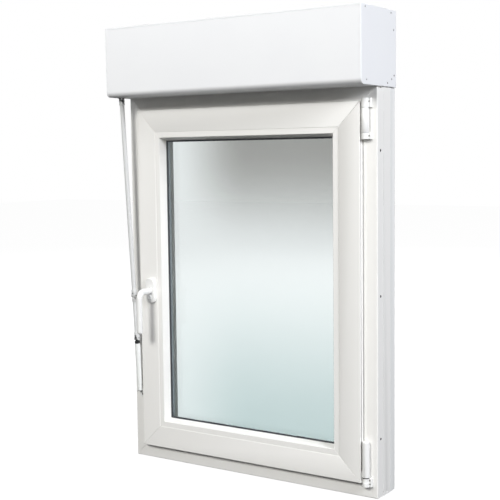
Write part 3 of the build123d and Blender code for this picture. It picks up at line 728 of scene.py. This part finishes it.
@dataclass
class ShutterBox:
    """Shutter box: covers, end caps, screws and what turns inside it."""

    edge_mm: float = 0.9
    cap_edge_mm: float = 0.4
    screw_recess: float = 2.6 * MM
    bronze: tuple[int, ...] = (3, 6)

    def build(self) -> None:
        """Finish the covers and set the cap screws."""
        for node in ("box_front_cover", "box_rear_shell", "box_bottom_panel"):
            soften(node, BOX_COAT, self.edge_mm)
        for node in ("end_cap_left", "end_cap_right"):
            soften(node, BOX_COAT, self.cap_edge_mm)
        soften("crank_outlet", MOULDED_DARK, edge_mm=0.2)
        for node in ("shaft_bearing", "winch_housing", "worm_wheel"):
            dress(node, MOULDED_DARK)
        dress("winding_shaft", ZINC_STEEL)
        dress("worm_shaft", BARE_STEEL)
        self.screws()

    def screws(self) -> None:
        """Set the end caps' screws, mostly zinc plated with two bronze ones a side."""
        places = self.islands(frame["nodes"]["end_cap_screws"].data)
        right = sorted((p for p in places if p.x > 0), key=lambda p: (-p.z, p.y))
        head = ScrewHead()
        for label, finish in (("zinc", ZINC_STEEL), ("bronze", BRONZE_STEEL)):
            picked = [p for i, p in enumerate(right) if (i in self.bronze) == (label == "bronze")]
            bm = bmesh.new()
            for sign in (-1, 1):
                face = sign * (CAD_BOX[1][0] - self.screw_recess)
                seats = [(face, p.y, p.z) for p in picked]
                bm.from_mesh(REPEAT.run("cap_screws", head.mesh((sign, 0, 0)), finish, {}, seats))
            name = "end_cap_screws_" + label
            replaced = ("end_cap_screws",) if label == "zinc" else ()
            add_piece(name, to_mesh(bm, name), finish, "root", replaced)

    def islands(self, mesh: bpy.types.Mesh) -> list[Vector]:
        """Return the centre of each separate solid of a mesh.

        Args:
            mesh: A mesh of several solids.

        Returns:
            One centre for each solid.
        """
        bm = bmesh.new()
        bm.from_mesh(mesh)
        bmesh.ops.remove_doubles(bm, verts=bm.verts, dist=WELD)
        centres = []
        left = set(bm.verts)
        while left:
            stack, island = [left.pop()], []
            while stack:
                vert = stack.pop()
                island.append(vert.co.copy())
                for edge in vert.link_edges:
                    other = edge.other_vert(vert)
                    if other in left:
                        left.discard(other)
                        stack.append(other)
            centres.append(sum(island, Vector()) / len(island))
        bm.free()
        return centres


@dataclass
class Shutter:
    """Roller shutter: slats, wound roll and bottom bar."""

    slat_height: float = 37 * MM
    lap: float = 0.4 * MM
    belly: float = 2.6 * MM
    hollow: float = 1.3 * MM
    facets: int = 8
    layers: float = 2.6
    layer_pitch: float = 9.5 * MM
    wound_thickness: float = 8 * MM
    wound_section: tuple[Pair, ...] = (
        (-1, 0), (1, 0), (0.97, 0.55), (0.5, 1), (-0.5, 1), (-0.97, 0.55))
    halvings: int = 40

    def build(self) -> None:
        """Hang the curtain, wind the roll and finish the bar."""
        soften("bottom_bar", RAIL_COAT, edge_mm=0.5)
        soften("bar_stoppers", SEAL_RUBBER, edge_mm=0.8)
        self.curtain()
        self.roll()

    def slat(self, half_width: float, thickness: float) -> bpy.types.Mesh:
        """Build one bellied slat, which hangs down from the origin and laps the next one.

        Args:
            half_width: Half of the slat's length along X.
            thickness: Its thickness.

        Returns:
            The slat's mesh.
        """
        drop = self.slat_height + self.lap
        levels = [i / self.facets for i in range(self.facets + 1)]
        outline = [(thickness / 2 - self.belly * (2 * t - 1) ** 2, -t * drop) for t in levels]
        outline += [(-thickness / 2 + self.hollow * (1 - (2 * t - 1) ** 2), -t * drop)
                    for t in reversed(levels)]
        bm = bmesh.new()
        skin(bm, [[Vector((x, y, z)) for y, z in outline] for x in (-half_width, half_width)])
        return to_mesh(bm, "slat", angle=30)

    def curtain(self) -> None:
        """Hang slats between the roll and the bar, evenly spaced when the shutter is down."""
        low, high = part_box("shutter_curtain")
        travel = next(j for j in frame["joints"] if j["name"] == "shutter_travel")["range_m"][1]
        rest_drop = high.z - low.z
        thickness = high.y - low.y
        centre = (low.y + high.y) / 2
        count = int((rest_drop + travel) / self.slat_height)
        row = REPEAT.run("shutter_slats", self.slat(high.x, thickness), SLAT_COAT,
                         {"Count": count, "Start": (0, centre, high.z), "Step": (0, 0, -self.slat_height)})
        for vert in row.vertices:
            vert.co.z = high.z - rest_drop * self.share(high.z - vert.co.z, rest_drop, travel)
        curtain = add_piece("shutter_slats", row, SLAT_COAT, None, ("shutter_curtain",))
        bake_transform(curtain)

    def share(self, drop: float, rest_drop: float, travel: float) -> float:
        """Find where a point of the lowered curtain sits while the shutter is up.

        Args:
            drop: The point's distance below the roll's axis when the shutter is down.
            rest_drop: The curtain's length at rest.
            travel: The bar's travel.

        Returns:
            The point's share of the rest length, from 0 at the top to 1 at the bar.
        """
        a, b = 0.0, 1.0
        for _ in range(self.halvings):
            t = (a + b) / 2
            reached = rest_drop * t + travel * t * t * (3 - 2 * t)
            a, b = (t, b) if reached < drop else (a, t)
        return (a + b) / 2

    def roll(self) -> None:
        """Wind slats round the shaft in a spiral of flats."""
        low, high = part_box("slat_roll")
        axis_y, axis_z = (low.y + high.y) / 2, (low.z + high.z) / 2
        outer = (high.z - low.z) / 2
        angle, radius = 0.0, outer - self.wound_thickness
        half = self.slat_height / 2 - self.lap
        bm = bmesh.new()
        while radius > outer - self.layers * self.layer_pitch:
            turn = 2 * math.asin(self.slat_height / 2 / radius)
            place = Matrix.Translation((0, axis_y, axis_z)) @ Matrix.Rotation(angle, 4, "X")
            inner = radius * math.cos(turn / 2)
            outline = [(half * u, inner + self.wound_thickness * v) for u, v in self.wound_section]
            skin(bm, [[place @ Vector((x, y, z)) for y, z in outline] for x in (low.x, high.x)])
            angle += turn
            radius -= self.layer_pitch * turn / (2 * math.pi)
        winding = to_mesh(bm, "slat_winding", angle=30)
        add_piece("slat_winding", winding, SLAT_COAT, "shaft", ("slat_roll",))


@dataclass
class Sash:
    """Glazed sash: welded profiles, beads, glass and seals."""

    edge_mm: float = 0.9
    bead_edge_mm: float = 0.5
    spacer_width: float = 9 * MM
    hole_pitch: float = 7 * MM
    hole_rings: tuple[Pair, ...] = ((0.5 * MM, 0.0), (0.42 * MM, 0.06 * MM))
    hole_sides: int = 8
    corner_gap: float = 25 * MM

    def build(self) -> None:
        """Finish the profiles, glaze them and add the spacer's holes."""
        for side in ("top", "bottom"):
            soften("sash_rail_" + side, UPVC_LEVEL, self.edge_mm)
            soften("glazing_bead_" + side, UPVC_LEVEL, self.bead_edge_mm)
        for side in ("left", "right"):
            soften("sash_stile_" + side, UPVC_UPRIGHT, self.edge_mm)
            soften("glazing_bead_" + side, UPVC_UPRIGHT, self.bead_edge_mm)
        for node in ("pane_inner", "pane_outer"):
            dress(node, GLASS)
        for node in ("glazing_gasket_inner", "glazing_gasket_outer", "sash_gasket"):
            dress(node, SEAL_RUBBER)
        dress("spacer_bar", SPACER_METAL)
        dress("setting_blocks", PACKER_BLUE)
        dress("sash_reinforcement", ZINC_STEEL)
        dress("espagnolette_case", ZINC_STEEL)
        for node in ("drive_rod_side", "drive_rod_top"):
            soften(node, ZINC_STEEL, edge_mm=0.3)
        self.spacer_holes()

    def spacer_holes(self) -> None:
        """Mark the rows of breathing holes along the spacer's inner faces."""
        low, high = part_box("spacer_bar")
        wall, y = self.spacer_width, (low.y + high.y) / 2
        wide, tall = high.x - low.x, high.z - low.z
        runs = [((low.x + wall, 1, 0), (0, 0, 1), tall), ((high.x - wall, -1, 0), (0, 0, 1), tall),
                ((low.z + wall, 0, 1), (1, 0, 0), wide), ((high.z - wall, 0, -1), (1, 0, 0), wide)]
        bm = bmesh.new()
        for (place, nx, nz), along, length in runs:
            dot = bmesh.new()
            turned(dot, list(self.hole_rings), facing((0, 0, 0), (nx, 0, nz)), self.hole_sides)
            first = (low.z if along[2] else low.x) + self.corner_gap
            sizes = {"Count": int((length - 2 * self.corner_gap) / self.hole_pitch),
                     "Start": (place, y, first) if along[2] else (first, y, place),
                     "Step": tuple(c * self.hole_pitch for c in along)}
            bm.from_mesh(REPEAT.run("spacer_row", to_mesh(dot, "dot"), MOULDED_DARK, sizes))
        add_piece("spacer_holes", to_mesh(bm, "spacer_holes"), MOULDED_DARK, "sash")


@dataclass
class HandleSet:
    """Lever handle on its oval rosette."""

    sides: int = 36
    neck_radius: float = 8.6 * MM
    grip_half_width: float = 9.0 * MM
    grip_half_depth: float = 6.6 * MM
    swell: float = 0.6 * MM
    bend: float = 19 * MM
    axis_inset: float = 9 * MM
    collar: float = 4 * MM
    straight: float = 6 * MM
    tip_length: float = 7 * MM
    tip_end: float = 0.06
    elbow_steps: int = 10
    grip_steps: int = 14
    tip_steps: int = 8
    cap_radius: float = 6.6 * MM
    cap_level: float = 17.5 * MM
    cap_sunk: float = 0.2 * MM
    cap_sides: int = 28
    cap_rings: tuple[Pair, ...] = (
        (1.0, 0.0), (1.0, 2.4 * MM), (0.86, 3.6 * MM), (0.5, 4.0 * MM), (0.3, 3.2 * MM))

    def build(self) -> None:
        """Shape the lever, and finish the rosette and its cover cap."""
        self.lever()
        dress("handle_spindle", BARE_STEEL)
        soften("handle_rosette", HARDWARE_COAT, edge_mm=0.5, segments=3)
        self.cap()

    def cap(self) -> None:
        """Set the round cover cap low on the rosette."""
        low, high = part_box("handle_rosette")
        centre = ((low.x + high.x) / 2, low.y + self.cap_sunk, low.z + self.cap_level)
        outline = [(self.cap_radius * share, height) for share, height in self.cap_rings]
        bm = bmesh.new()
        turned(bm, outline, facing(centre, (0, -1, 0)), self.cap_sides)
        cover = to_mesh(bm, "rosette_cap", angle=30)
        add_piece("rosette_cap", cover, HARDWARE_COAT, "sash")

    def stations(self) -> list[Station]:
        """Lay out a round neck, an elbow, and a grip that flattens and widens towards its tip.

        Returns:
            Each section's place, its direction, and half of its width and depth.
        """
        low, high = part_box("handle_lever")
        x = (low.x + high.x) / 2
        axis_z, plane_y = high.z - self.axis_inset, low.y + self.axis_inset
        elbow = Vector((x, plane_y + self.bend, axis_z - self.bend))
        outwards, down = Vector((0, -1, 0)), Vector((0, 0, -1))
        path = []
        for y in (high.y, high.y - self.collar, plane_y + self.bend + self.straight, plane_y + self.bend):
            path.append((Vector((x, y, axis_z)), outwards, self.neck_radius, self.neck_radius))
        for i in range(1, self.elbow_steps + 1):
            t = i / self.elbow_steps
            a = math.pi / 2 * t
            spot = elbow + Vector((0, -math.sin(a), math.cos(a))) * self.bend
            depth = self.neck_radius + (self.grip_half_depth + self.swell - self.neck_radius) * t
            path.append((spot, Vector((0, -math.cos(a), -math.sin(a))), self.neck_radius, depth))
        top, end = axis_z - self.bend, low.z + self.tip_length
        for i in range(1, self.grip_steps + 1):
            t = i / self.grip_steps
            width = self.neck_radius + (self.grip_half_width - self.neck_radius) * t
            depth = self.grip_half_depth + self.swell * (1 - t)
            path.append((Vector((x, plane_y, top + (end - top) * t)), down, width, depth))
        for i in range(1, self.tip_steps + 1):
            a = math.pi / 2 * i / self.tip_steps
            fade = max(math.cos(a), self.tip_end)
            spot = Vector((x, plane_y, end - self.tip_length * math.sin(a)))
            path.append((spot, down, self.grip_half_width * fade, self.grip_half_depth * fade))
        return path

    def lever(self) -> None:
        """Sweep an oval through the lever's sections."""
        across = Vector((1, 0, 0))
        angles = [2 * math.pi * k / self.sides for k in range(self.sides)]
        rings = []
        for spot, direction, width, depth in self.stations():
            up = across.cross(direction)
            rings.append([spot + across * width * math.cos(a) + up * depth * math.sin(a) for a in angles])
        bm = bmesh.new()
        skin(bm, rings)
        casting = to_mesh(bm, "lever_casting", angle=50)
        add_piece("lever_casting", casting, HARDWARE_COAT, "handle", ("handle_lever",))


@dataclass
class Hinges:
    """Corner hinges with enamelled covers, their washers and screws."""

    edge_mm: float = 0.5
    radius: float = 9 * MM
    washer_thickness: float = 0.5 * MM
    washer_inset: float = 0.6 * MM
    washer_sides: int = 40
    cover_length: float = 60 * MM
    cover_proud: float = 0.15 * MM
    cover_lip: float = 0.5 * MM
    cover_bore: float = 0.8
    ring_level: float = 22.6 * MM
    ring_proud: float = 0.2 * MM
    ring_outline: tuple[Pair, ...] = (
        (-0.5 * MM, -0.6 * MM), (0.0, 0.0), (0.0, 1.4 * MM), (-0.5 * MM, 2.0 * MM))
    sides: int = 48

    def build(self) -> None:
        """Finish both hinges and the stay arm."""
        for node in ("hinge_bottom_bearing", "hinge_bottom_pivot", "hinge_top_bracket"):
            soften(node, HARDWARE_COAT, self.edge_mm)
        soften("stay_arm", ZINC_STEEL, edge_mm=0.3)
        soften("fixing_screws", ZINC_STEEL, edge_mm=0.25)
        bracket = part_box("hinge_top_bracket")[0]
        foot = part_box("stay_arm")[0].z
        axis = Matrix.Translation((bracket.x + self.radius, bracket.y + self.radius, 0))
        self.knuckle_cover(axis, foot)
        self.washers(axis, foot)
        self.pivot_ring(axis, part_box("hinge_bottom_bearing")[0].z)

    def washers(self, axis: Matrix, bottom: float) -> None:
        """Set a steel washer under and over the stay's knuckle.

        Args:
            axis: Placement of the hinge axis.
            bottom: Height of the knuckle's lower end.
        """
        rim = self.radius - self.washer_inset
        bm = bmesh.new()
        for z in (bottom - self.washer_thickness, bottom + self.cover_length):
            turned(bm, [(rim, z), (rim, z + self.washer_thickness)], axis, self.washer_sides)
        pair = to_mesh(bm, "hinge_washers", angle=30)
        add_piece("hinge_washers", pair, SPACER_METAL, "root")

    def pivot_ring(self, axis: Matrix, bottom: float) -> None:
        """Slip a dark ring over the lower hinge, where its pivot sits on the bearing.

        Args:
            axis: Placement of the hinge axis.
            bottom: Height of the bearing's lower end.
        """
        rim, level = self.radius + self.ring_proud, bottom + self.ring_level
        bm = bmesh.new()
        turned(bm, [(rim + out, level + up) for out, up in self.ring_outline], axis, self.sides)
        add_piece("pivot_ring", to_mesh(bm, "pivot_ring", angle=30), MOULDED_DARK, "root")

    def knuckle_cover(self, axis: Matrix, bottom: float) -> None:
        """Clip a white enamelled sleeve over the stay's knuckle.

        Args:
            axis: Placement of the hinge axis.
            bottom: Height of the knuckle's lower end.
        """
        shell, core = self.radius + self.cover_proud, self.radius * self.cover_bore
        top, lip = bottom + self.cover_length, self.cover_lip
        outline = [(core, bottom), (shell - lip, bottom), (shell, bottom + lip), (shell, top - lip),
                   (shell - lip, top), (core, top)]
        bm = bmesh.new()
        turned(bm, outline, axis, self.sides)
        sleeve = to_mesh(bm, "knuckle_cover", angle=50)
        add_piece("knuckle_cover", sleeve, HARDWARE_COAT, "stay")


@dataclass
class Crank:
    """Folding hand crank: cardan, rod, knuckles and grip."""

    seam: float = 0.5 * MM

    def build(self) -> None:
        """Finish the crank's links, with the grip's core dark above its sleeve."""
        for node, finish, edge in (("cardan_cross", BARE_STEEL, 0.2), ("crank_rod", ROD_LACQUER, 0.3),
                                   ("fold_pin_upper", BARE_STEEL, 0.2), ("crank_arm", ROD_LACQUER, 0.3),
                                   ("fold_pin_lower", BARE_STEEL, 0.2), ("crank_grip", MOULDED_WHITE, 0.8)):
            soften(node, finish, edge)
        core = soften("grip_core", MOULDED_WHITE, edge_mm=0.3)
        core.data.materials.append(MOULDED_DARK.material())
        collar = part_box("crank_grip")[1].z
        for face in core.data.polygons:
            face.material_index = int(face.center.z > collar - self.seam)


# ------------------------------------------------------------------ stage
@dataclass(frozen=True)
class Lamp:
    """One square soft light, aimed at the middle of the object.

    The azimuth is in degrees round from the room side towards +X, the elevation in degrees above the
    object's middle, and the power in watts.
    """

    name: str
    azimuth: float
    elevation: float
    size: float
    power: float
    colour: str


@dataclass
class Studio:
    """Floor, soft lights and the camera."""

    camera_at: Point = (1.5295, -2.3033, 0.8454)
    yaw: float = 33.77
    pitch: float = 5.08
    roll: float = -0.69
    lens_mm: float = 75.54
    sensor_mm: float = 36.0
    ambient: float = 0.08
    lamp_distance: float = 6.0
    floor_half: float = 14.0
    floor_drop: float = 0.5 * MM
    floor_glow: float = 0.97
    floor_tints: tuple[str, str] = ("464646", "404040")
    floor_roughness: float = 0.9
    floor_clouds_per_metre: float = 1.5
    lamps: tuple[Lamp, ...] = (
        Lamp("key", -2, 29, 1.6, 228, "fffefb"),
        Lamp("right_fill", 76, 24, 1.8, 318, "f8faff"),
        Lamp("left_fill", -42, 24, 1.8, 46, "f9fbff"),
        Lamp("back_fill", 205, 28, 2.2, 215, "fffefb"),
        Lamp("back_side", -110, 26, 2.0, 110, "f9fbff"))

    def build(self) -> None:
        """Set the camera, the lights and the floor."""
        self.camera()
        self.world()
        for lamp in self.lamps:
            self.hang(lamp)
        self.floor()

    def camera(self) -> None:
        """Place the camera with its small roll."""
        yaw, pitch, roll = (math.radians(v) for v in (self.yaw, self.pitch, self.roll))
        ahead = Vector((-math.sin(yaw) * math.cos(pitch), math.cos(yaw) * math.cos(pitch), -math.sin(pitch)))
        level = Vector((math.cos(yaw), math.sin(yaw), 0))
        up = level.cross(ahead)
        right = level * math.cos(roll) + up * math.sin(roll)
        top = up * math.cos(roll) - level * math.sin(roll)
        data = bpy.data.cameras.new("camera")
        data.lens = self.lens_mm
        data.sensor_width = self.sensor_mm
        camera = add_object("camera", data)
        turn = Matrix((right, top, -ahead)).transposed().to_4x4()
        camera.matrix_world = Matrix.Translation(self.camera_at) @ turn
        bpy.context.scene.camera = camera

    def world(self) -> None:
        """Make a white surround that lights the object less than it shows behind it."""
        world = bpy.data.worlds.new("studio")
        bpy.context.scene.world = world
        bpy.context.scene.view_settings.view_transform = "Standard"
        tree = blank_tree(world)
        strength = add_node(tree, "ShaderNodeMapRange", {"To Min": self.ambient, "To Max": 1.0},
                            {"Value": self.seen(tree)})
        sky = add_node(tree, "ShaderNodeBackground", {"Color": (1, 1, 1, 1)},
                       {"Strength": strength.outputs[0]})
        add_node(tree, "ShaderNodeOutputWorld", links={"Surface": sky.outputs[0]})

    def seen(self, tree: bpy.types.NodeTree) -> bpy.types.NodeSocket:
        """Tell what is looked at from what only lights the object.

        Args:
            tree: The tree that gets the nodes.

        Returns:
            A socket that is one straight or through glass, and zero for light.
        """
        path = add_node(tree, "ShaderNodeLightPath")
        either = add_node(tree, "ShaderNodeMath", operation="MAXIMUM", links={
            0: path.outputs["Is Camera Ray"], 1: path.outputs["Is Transmission Ray"]})
        return either.outputs[0]

    def hang(self, lamp: Lamp) -> None:
        """Hang one light.

        Args:
            lamp: Its place, size, power and colour.
        """
        a, e = math.radians(lamp.azimuth), math.radians(lamp.elevation)
        away = Vector((math.sin(a) * math.cos(e), -math.cos(a) * math.cos(e), math.sin(e)))
        middle = Vector((0, 0, (CAD_BOX[0][2] + CAD_BOX[1][2]) / 2))
        data = bpy.data.lights.new(lamp.name, "AREA")
        data.size = lamp.size
        data.energy = lamp.power
        data.color = linear(lamp.colour)[:3]
        placed = add_object(lamp.name, data)
        placed.matrix_world = facing(tuple(middle + away * self.lamp_distance), tuple(away))

    def floor(self) -> None:
        """Lay a floor under the sill that looks nearly white but throws little light back."""
        z = CAD_BOX[0][2] - self.floor_drop
        mesh = bpy.data.meshes.new("floor")
        corners = [(u * self.floor_half, v * self.floor_half, z) for u, v in SQUARE]
        mesh.from_pydata(corners, [], [(0, 1, 2, 3)])
        floor = add_object("floor", mesh)
        material = bpy.data.materials.new("floor_paper")
        tree = blank_tree(material)
        place = add_node(tree, "ShaderNodeTexCoord")
        cloud = add_node(tree, "ShaderNodeTexNoise", {"Scale": self.floor_clouds_per_metre},
                         {"Vector": place.outputs["Object"]})
        light, dark = (linear(tint) for tint in self.floor_tints)
        tint = add_node(tree, "ShaderNodeMix", {6: light, 7: dark}, {"Factor": cloud.outputs["Fac"]},
                        data_type="RGBA")
        glow = add_node(tree, "ShaderNodeMath", {1: self.floor_glow}, {0: self.seen(tree)},
                        operation="MULTIPLY")
        shader = add_node(tree, "ShaderNodeBsdfPrincipled",
                          {"Roughness": self.floor_roughness, "Emission Color": (1, 1, 1, 1)},
                          {"Base Color": tint.outputs[2], "Emission Strength": glow.outputs[0]})
        add_node(tree, "ShaderNodeOutputMaterial", links={"Surface": shader.outputs[0]})
        mesh.materials.append(material)


def main() -> None:
    """Build the studio and every sub-assembly."""
    logging.basicConfig(level=logging.INFO, format="%(name)s %(message)s")
    for part in (Studio(), OuterFrame(), ShutterBox(), Shutter(), Sash(), HandleSet(), Hinges(), Crank()):
        LOG.info("-- %s", type(part).__name__)
        part.build()


if __name__ == "__main__":
    main()
